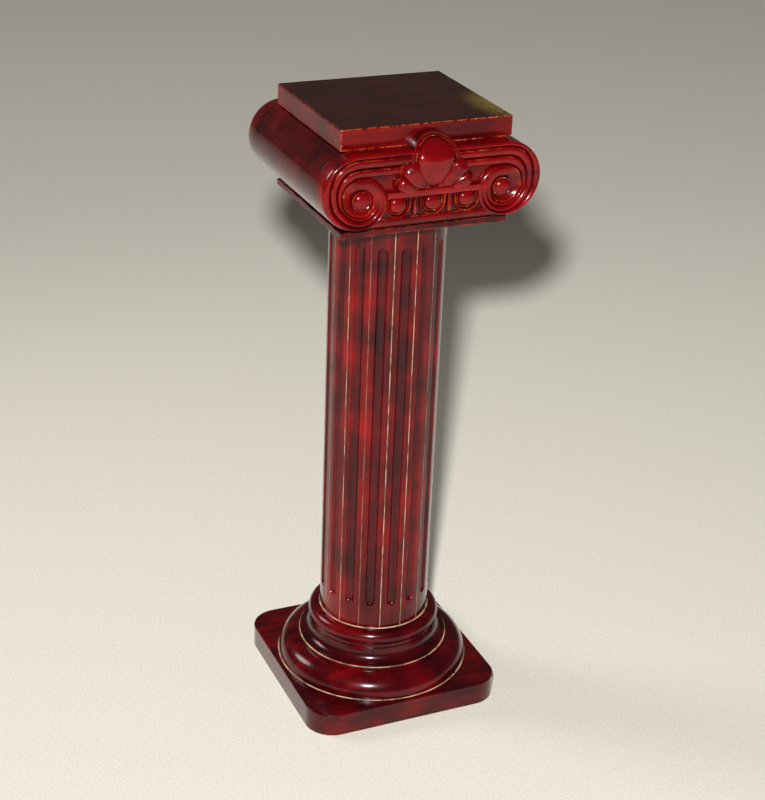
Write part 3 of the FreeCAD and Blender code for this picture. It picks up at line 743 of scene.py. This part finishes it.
def inner_turn(angle):
    """The same across the bowl, on the second turn."""
    outer = read(spiral, angle)
    share = ACROSS
    radius = outer + (EYE_RADIUS - outer) * share
    start = read(edge_height, angle)
    hollow = fade(angle, 365, 420)
    height = bowl(share, start) * hollow + broad_roll(radius, outer) * (1 - hollow)
    ending = fade(angle, 600, 715)
    height = height * (1 - ending) + (start + (EYE_FOOT - start) * share) * ending
    worn = np.exp(-((share - 0.11) / 0.08) ** 2) * hollow * (1 - ending)
    worn = worn + 0.35 * np.exp(-((share - 0.4) / 0.3) ** 2) * hollow * (1 - ending)
    sunk = np.exp(-((1 - share) / 0.16) ** 2) + 0.7 * np.exp(-(share / 0.03) ** 2)
    return radius, height, np.clip(worn, 0, 1), np.clip(sunk, 0, 1)


# %% The ribbons, the eye and the flat rolls between the scrolls
def ribbon(carving, angles, section):
    """One strip round the eye, from the sections at the angles given."""
    points, worn, sunk = [], [], []
    for angle in angles:
        radii, heights, wear, dark = section(angle)
        points.append([eye_point(r, angle, h) for r, h in zip(radii, heights)])
        worn.append(wear)
        sunk.append(dark)
    carving.strip(np.array(points), np.array(worn), np.array(sunk))


def eye(carving):
    """The round button in the middle of a scroll, with a thin raised rim."""
    profile = [(EYE_RADIUS, EYE_FOOT, 0, 0.9), (13.3, 4.2, 0.5, 0.3), (12.9, 5.4, 0.9, 0),
               (12.3, 5.6, 0.6, 0), (11.7, 5.2, 0, 0.5), (11.0, 5.9, 0, 0.15), (9.5, 7.4, 0, 0),
               (7.5, 8.6, 0, 0), (5.0, 9.3, 0, 0), (2.5, 9.6, 0, 0), (0.0, 9.7, 0, 0)]
    around = np.arange(0, 360, 6)
    rings = np.array([[eye_point(r, a, h) for a in around] for r, h, _, _ in profile])
    carving.dome(rings, [p[2] for p in profile], [p[3] for p in profile])


def level_rolls(carving):
    """The three rolls that run straight from one scroll to the other."""
    radii, heights, worn, sunk = outer_turn(0)
    across = np.linspace(-EYE[0], EYE[0], 41)
    points = [[(x, GROUND + h, EYE[1] + r) for r, h in zip(radii, heights)] for x in across]
    carving.strip(np.array(points), np.array([worn] * len(across)), np.array([sunk] * len(across)))


def slab(carving, left, right, profile, steps=24):
    """A straight moulding: (forward, up, worn, sunk) points, drawn across from left to right."""
    across = np.linspace(left, right, steps)
    points = [[(x, f, z) for f, z, _, _ in profile] for x in across]
    worn = [p[2] for p in profile]
    sunk = [p[3] for p in profile]
    carving.strip(np.array(points), np.array([worn] * steps), np.array([sunk] * steps))


scroll = Carving()
ribbon(scroll, np.arange(0, 360.1, 2.5), outer_turn)
ribbon(scroll, np.arange(360, 720.1, 3), inner_turn)
eye(scroll)
panel = Carving()
panel.join(scroll)
panel.join(scroll.mirrored())
level_rolls(panel)
# The flat ground between the scrolls, and the low moulding at its foot.
slab(panel, -99.0, 99.0, [(GROUND, 857.5, 0, 0.8), (GROUND + 0.4, 850.0, 0, 0.3),
                          (GROUND + 0.4, 838.0, 0, 0.3), (GROUND, 796.5, 0, 0.8)])
slab(panel, -100.0, 100.0, [(GROUND, 797.2, 0, 0.8), (GROUND + 1.6, 796.4, 0.7, 0),
                            (GROUND + 2.6, 794.0, 0.2, 0), (GROUND + 2.8, 790.0, 0, 0),
                            (GROUND + 2.2, 787.0, 0, 0), (GROUND + 0.4, 785.8, 0, 0.6)])
for side, back_side in (("front", False), ("back", True)):
    finish_piece(f"{side}_scroll_carving", panel, "carved_lacquer", f"{side}_scroll_panel", back_side)

# %% [markdown]
# ## The shell
#
# Five lobes open from one root, like a fan of leaves, the outer ones in front
# of the middle one. Each lobe is a drop: a round end and two straight sides
# that meet at the root. Rings of points shrink from its outline to its
# middle, and each ring has a height: a plain rim, a groove, a thin bead and
# then a cushion.

# %% The lobes
# Share of the way in, height as a share of the rim, height as a share of the crown, worn, sunk.
LOBE_LEVELS = ((0.00, 0.45, 0.0, 0.1, 0.9), (0.012, 0.9, 0.0, 0.3, 0.2), (0.05, 1.0, 0.0, 0.5, 0.0),
               (0.09, 0.92, 0.0, 0.1, 0.1), (0.115, 0.72, 0.0, 0.0, 0.9), (0.135, 0.95, 0.0, 0.7, 0.3),
               (0.155, 1.10, 0.0, 1.0, 0.0), (0.18, 1.02, 0.0, 0.2, 0.2), (0.20, 0.86, 0.0, 0.0, 0.9),
               (0.23, 0.96, 0.20, 0.0, 0.3), (0.29, 1.0, 0.42, 0.0, 0.0), (0.38, 1.0, 0.62, 0.0, 0.0),
               (0.50, 1.0, 0.79, 0.0, 0.0), (0.66, 1.0, 0.91, 0.0, 0.0), (0.83, 1.0, 0.98, 0.0, 0.0),
               (1.0, 1.0, 1.0, 0.0, 0.0))


def drop_outline(centre, wide, tall, root, steps=84):
    """A drop round centre: round away from the root, drawn to a point at it."""
    axis = np.array([centre[0] - root[0], centre[1] - root[1]])
    length = np.hypot(*axis)
    axis = axis / length
    side = np.array([axis[1], -axis[0]])
    angles = np.linspace(0, math.tau, steps, endpoint=False)
    along, beside = np.cos(angles), np.sin(angles)
    back = np.clip(-along, 0, 1)
    forth = np.where(along > 0, tall * along, -length * back)
    pinch = np.where(along > 0, 1.0, np.sqrt(np.clip(1 - back ** 2, 0, 1)) ** 0.25)
    out = np.outer(forth, axis) + np.outer(wide * beside * pinch, side)
    return out + np.array(centre), along, back


def lobe(carving, centre, wide, tall, root, rim_height, crown, lean=0.0, foot=4.0):
    """One lobe: its rims, its groove and its cushion."""
    outline, along, back = drop_outline(centre, wide, tall, root)
    middle = np.array(centre)
    rings, worn, sunk = [], [], []
    for way, rim, swell, wear, dark in LOBE_LEVELS:
        flat = outline + (middle - outline) * way
        down = back * (1 - way)
        height = rim * rim_height + swell * (crown - rim_height)
        height = height * (1 - down) + (foot + 0.35 * swell * (crown - rim_height)) * down
        height = height - lean * np.clip(along, 0, 1) ** 2 * (1 - way)
        rings.append(np.column_stack([flat[:, 0], GROUND + height, flat[:, 1]]))
        worn.append(wear * (1 - 0.4 * down))
        sunk.append(np.full(len(flat), dark))
    carving.dome(np.array(rings), worn, sunk)


shell = Carving()
lobe(shell, (0.0, 872.8), 33.8, 33.6, (0.0, 825.0), 10.0, 17.4, lean=18.0, foot=4.0)
for side in (-1, 1):
    lobe(shell, (side * 34.5, 859.6), 15.2, 15.2, (side * 8.0, 827.5), 9.0, 16.0, lean=5.0, foot=7.0)
    lobe(shell, (side * 45.6, 842.6), 10.8, 11.0, (side * 21.0, 828.0), 9.4, 14.8, lean=3.5, foot=8.0)
for side, back_side in (("front", False), ("back", True)):
    finish_piece(f"{side}_shell_carving", shell, "carved_lacquer", f"{side}_shell", back_side)

# %% [markdown]
# ## The band of eggs
#
# Under the shell a ledge carries a row of three eggs in U-shaped husks, with
# a dart between each two. It is the same three shapes again and again, so a
# Geometry Nodes tree sets them out along a line: its inputs are the objects,
# how many and how far apart.

# %% One egg, one husk, one dart
EGG_PITCH = 49.5
EGG_LEVEL = 813.5
LEDGE = (824.9, 833.4)


def egg_shape():
    """A wide, round-topped button."""
    piece = Carving()
    angles = np.radians(np.arange(0, 360, 7.5))
    profile = [(1.0, 0.8, 0.9), (0.985, 3.6, 0.0), (0.93, 5.6, 0.0), (0.82, 7.1, 0.0), (0.64, 8.2, 0.0),
               (0.44, 8.8, 0.0), (0.22, 9.1, 0.0), (0.0, 9.2, 0.0)]
    across = np.sign(np.sin(angles)) * np.abs(np.sin(angles)) ** 0.85
    upwards = np.sign(np.cos(angles)) * np.abs(np.cos(angles)) ** 0.85
    rings = []
    for share, height, _ in profile:
        rings.append(np.column_stack([11.8 * share * across, np.full(len(angles), GROUND + height),
                                      EGG_LEVEL + 1.0 + 10.4 * share * upwards]))
    piece.dome(np.array(rings), [0.0] * len(profile), [p[2] for p in profile])
    return piece


def husk_shape(half, drop, profile):
    """A bead that runs down one side of the egg, under it and up the other."""
    piece = Carving()
    turn = np.radians(np.arange(0, 181, 6))
    path = [(-1.0, 1.0)] + [(-math.cos(a), -math.sin(a)) for a in turn] + [(1.0, 1.0)]
    points = []
    for across, up in path:
        out = np.array([across, min(up, 0.0)])
        out = out / np.hypot(*out)
        rise = drop * up if up < 0 else (LEDGE[0] + 1.0 - EGG_LEVEL) * up
        points.append([(half * across + out[0] * w, GROUND + h, EGG_LEVEL + rise + out[1] * w)
                       for w, h, _, _ in profile])
    worn = [[p[2] for p in profile]] * len(path)
    sunk = [[p[3] for p in profile]] * len(path)
    piece.strip(np.array(points), np.array(worn), np.array(sunk))
    return piece


# Place across the bead, height, worn, sunk.
THIN_BEAD = [(-1.0, 0.6, 0, 1), (-0.7, 4.0, 0.5, 0.2), (0.0, 4.8, 1.0, 0), (0.7, 4.0, 0.6, 0.2),
             (1.0, 0.6, 0, 1)]
BROAD_BEAD = [(-1.9, 0.6, 0, 1), (-1.5, 3.6, 0.2, 0.2), (-0.6, 5.4, 0.7, 0), (0.4, 5.6, 0.7, 0),
              (1.3, 4.2, 0.2, 0), (1.9, 0.4, 0, 0.9)]


def dart_shape():
    """A rounded wedge that widens downwards and ends round."""
    piece = Carving()
    rows = []
    shares = np.array([-1.0, -0.85, -0.5, 0.0, 0.5, 0.85, 1.0])
    for z, half, crest in ((825.5, 1.8, 2.6), (819.0, 2.4, 3.6), (812.0, 3.4, 5.2), (806.0, 4.2, 6.2),
                           (801.5, 3.9, 6.0), (798.8, 2.6, 4.4), (797.8, 1.0, 1.6)):
        rows.append([(half * s, GROUND + 0.6 + (crest - 0.6) * math.sqrt(1 - s * s), z) for s in shares])
    worn = np.array([[0, 0.1, 0.4, 0.7, 0.4, 0.1, 0]] * len(rows))
    sunk = np.array([[0.9, 0.3, 0, 0, 0, 0.3, 0.9]] * len(rows))
    piece.strip(np.array(rows), worn, sunk)
    return piece


def loose_object(name, carving):
    """A carving as a plain object for the tree below to copy."""
    mesh = bpy.data.meshes.new(name)
    mesh.from_pydata([(x * MM, -f * MM, z * MM) for x, f, z in carving.points], [], carving.faces)
    for label, values in (("worn", carving.worn), ("sunk", carving.sunk)):
        mesh.attributes.new(label, "FLOAT", "POINT").data.foreach_set("value", values)
    thing = bpy.data.objects.new(name, mesh)
    bpy.context.scene.collection.objects.link(thing)
    return thing


# %% The tree that sets them out
def row_tree():
    """Copies of a shape along the X axis, evenly spaced about the middle."""
    tree = bpy.data.node_groups.new("row of carved shapes", "GeometryNodeTree")
    face = tree.interface
    face.new_socket("Geometry", in_out="OUTPUT", socket_type="NodeSocketGeometry")
    for label, kind in (("Shape", "NodeSocketObject"), ("Count", "NodeSocketInt"),
                        ("Pitch", "NodeSocketFloat"), ("Finish", "NodeSocketMaterial")):
        face.new_socket(label, in_out="INPUT", socket_type=kind)
    given = add(tree, "NodeGroupInput").outputs
    gaps = add(tree, MATHS, MINUS, {0: given["Count"], 1: 1.0})
    length = add(tree, MATHS, TIMES, {0: gaps, 1: given["Pitch"]})
    first = add(tree, MATHS, TIMES, {0: length, 1: -0.5})
    start = add(tree, "ShaderNodeCombineXYZ", None, {"X": first})
    step = add(tree, "ShaderNodeCombineXYZ", None, {"X": given["Pitch"]})
    line = add(tree, "GeometryNodeMeshLine", None,
               {"Count": given["Count"], "Start Location": start, "Offset": step})
    shape = add(tree, "GeometryNodeObjectInfo", {"transform_space": "ORIGINAL"},
                {"Object": given["Shape"]})
    copies = add(tree, "GeometryNodeInstanceOnPoints", None,
                 {"Points": line, "Instance": shape.outputs["Geometry"]})
    solid = add(tree, "GeometryNodeRealizeInstances", None, {"Geometry": copies})
    dressed = add(tree, "GeometryNodeSetMaterial", None, {"Geometry": solid, "Material": given["Finish"]})
    add(tree, "NodeGroupOutput", None, {"Geometry": dressed})
    return tree


def row_of(shape, count, pitch, tree):
    """A plain carving with count copies of a shape, made by the tree."""
    source = loose_object("row_source", shape)
    holder = bpy.data.objects.new("row_holder", bpy.data.meshes.new("row_holder"))
    bpy.context.scene.collection.objects.link(holder)
    modifier = holder.modifiers.new("row", "NODES")
    modifier.node_group = tree
    values = {"Shape": source, "Count": count, "Pitch": pitch * MM, "Finish": finishes["carved_lacquer"]}
    for item in tree.interface.items_tree:
        if item.in_out == "INPUT":
            modifier[item.identifier] = values[item.name]
    graph = bpy.context.evaluated_depsgraph_get()
    graph.update()
    mesh = bpy.data.meshes.new_from_object(holder.evaluated_get(graph))
    result = Carving()
    result.points = [[v.co.x / MM, -v.co.y / MM, v.co.z / MM] for v in mesh.vertices]
    result.faces = [tuple(p.vertices) for p in mesh.polygons]
    result.worn = [item.value for item in mesh.attributes["worn"].data]
    result.sunk = [item.value for item in mesh.attributes["sunk"].data]
    for thing in (source, holder):
        bpy.data.objects.remove(thing)
    return result


tree = row_tree()
band = Carving()
for shape, count in ((egg_shape(), 3), (husk_shape(13.6, 11.3, THIN_BEAD), 3),
                     (husk_shape(17.0, 15.8, BROAD_BEAD), 3), (dart_shape(), 2)):
    band.join(row_of(shape, count, EGG_PITCH, tree))
slab(band, -66.6, 66.6, [(GROUND + 1.0, LEDGE[1] - 0.6, 0.1, 0.4), (GROUND + 8.6, LEDGE[1], 0.2, 0),
                         (GROUND + 9.7, LEDGE[1] - 0.8, 0.6, 0), (GROUND + 9.9, LEDGE[1] - 3.0, 0.05, 0),
                         (GROUND + 9.4, LEDGE[0] + 1.5, 0.05, 0), (GROUND + 8.0, LEDGE[0], 0.3, 0),
                         (GROUND + 1.0, LEDGE[0] - 0.6, 0, 0.9)])
for side, back_side in (("front", False), ("back", True)):
    finish_piece(f"{side}_egg_carving", band, "carved_lacquer", f"{side}_egg_band", back_side)

# %% [markdown]
# ## Floor, light and camera
#
# The stand was photographed on a pale floor with one light a little above the
# camera and to its left, which leaves crisp highlights on the lacquer and
# puts the shadow behind the stand. A lamp so close would leave the far floor
# dark, so the key's light is made even with distance by a Light Falloff node.
# A weak lamp overhead and another behind open the shadows.

# %% The floor
FLOOR_HALF = 12.0
NAP_WIDTH = 4 * MM
NAP_HEIGHT = 1.5 * MM


def floor_finish():
    """A pale, matt, faintly flecked floor with a soft nap."""
    material = bpy.data.materials.new("pale_matt_carpet")
    material.use_nodes = True
    tree = material.node_tree
    tree.nodes.clear()
    place = add(tree, "ShaderNodeTexCoord").outputs["Object"]
    fleck = add(tree, NOISE, None,
                {"Vector": place, "Scale": 1 / NAP_WIDTH, "Detail": 3.0, "Roughness": 0.7})
    ramp = {"stops": ((0.3, "#E2DCCD"), (0.7, "#F4F0E4"))}
    colour = add(tree, "ShaderNodeValToRGB", ramp, {"Fac": fleck})
    nap = add(tree, "ShaderNodeBump", None, {"Height": fleck, "Strength": 0.4, "Distance": NAP_HEIGHT})
    matt = add(tree, "ShaderNodeBsdfPrincipled", None,
               {"Base Color": colour, "Roughness": 0.95, "Specular IOR Level": 0.05, "Normal": nap})
    add(tree, "ShaderNodeOutputMaterial", None, {"Surface": matt})
    return material


floor_mesh = bpy.data.meshes.new("floor")
corners = [(x * FLOOR_HALF, y * FLOOR_HALF, 0) for x, y in ((-1, -1), (1, -1), (1, 1), (-1, 1))]
floor_mesh.from_pydata(corners, [], [(0, 1, 2, 3)])
floor_mesh.materials.append(floor_finish())
floor = bpy.data.objects.new("floor", floor_mesh)
bpy.context.scene.collection.objects.link(floor)
print("the floor is", 2 * FLOOR_HALF, "m wide")

# %% The camera
CAMERA_PLACE = Vector((-0.93792, -2.07460, 1.55699))
AZIMUTH, ELEVATION, ROLL = (math.radians(v) for v in (-24.3796, 25.6605, 2.3042))
SENSOR = 36.0
FOCAL = 1728.46 / 800 * SENSOR  # the focal length in pixels, over the picture's longer side

behind = Vector((math.sin(AZIMUTH) * math.cos(ELEVATION), -math.cos(AZIMUTH) * math.cos(ELEVATION),
                 math.sin(ELEVATION)))
right = (-behind).cross(Vector((0, 0, 1))).normalized()
up = right.cross(-behind)
tilted_right = right * math.cos(ROLL) + up * math.sin(ROLL)
tilted_up = up * math.cos(ROLL) - right * math.sin(ROLL)
turned = Matrix((tilted_right, tilted_up, behind)).transposed()
lens = bpy.data.cameras.new("camera")
lens.lens = FOCAL
lens.sensor_width = SENSOR
lens.sensor_fit = "AUTO"
lens.clip_end = 50.0
camera = bpy.data.objects.new("camera", lens)
camera.matrix_world = Matrix.Translation(CAMERA_PLACE) @ turned.to_4x4()
bpy.context.scene.collection.objects.link(camera)
bpy.context.scene.camera = camera
print("a lens of", round(FOCAL, 1), "mm on a frame", SENSOR, "mm wide")


# %% The lamps
def hang(name, data, place, target, mirrored=True):
    """Puts a lamp somewhere and points it at something; one that isn't mirrored shows in no gloss."""
    thing = bpy.data.objects.new(name, data)
    thing.location = place
    thing.rotation_euler = (Vector(target) - Vector(place)).to_track_quat("-Z", "Y").to_euler()
    thing.visible_glossy = mirrored
    bpy.context.scene.collection.objects.link(thing)


LEVEL = 39.5  # watts at which an even point lamp shows a facing colour as it is written
KEY_RIGHT, KEY_UP = -0.07, 0.22  # metres from the camera, along the picture's sides
MIDDLE = (0.0, 0.0, 0.55)
key = bpy.data.lights.new("key", "POINT")
key.energy = 1.2 * LEVEL
key.shadow_soft_size = 0.055
key.use_nodes = True
key.node_tree.nodes.clear()
even = add(key.node_tree, "ShaderNodeLightFalloff", None, {"Strength": 1.0, "Smooth": 0.0})
beam = add(key.node_tree, "ShaderNodeEmission", None, {"Strength": even.outputs["Constant"]})
add(key.node_tree, "ShaderNodeOutputLight", None, {"Surface": beam})
hang("key", key, CAMERA_PLACE + tilted_right * KEY_RIGHT + tilted_up * KEY_UP, MIDDLE)
# Place, width in metres, watts, opening in degrees, mirrored.
for name, place, size, power, opening, mirrored in (("overhead", (0.3, 0.2, 3.6), 2.4, 5.0, 180, False),
                                                    ("behind", (-2.3, 1.9, 2.3), 1.2, 5.5, 70, True)):
    data = bpy.data.lights.new(name, "AREA")
    data.shape = "DISK"
    data.size = size
    data.energy = power
    data.spread = math.radians(opening)
    hang(name, data, place, MIDDLE, mirrored)
world = bpy.data.worlds.new("studio")
world.use_nodes = True
world.node_tree.nodes["Background"].inputs["Color"].default_value = paint("#B9B4AC")
world.node_tree.nodes["Background"].inputs["Strength"].default_value = 0.13
bpy.context.scene.world = world
bpy.context.scene.view_settings.view_transform = "Standard"
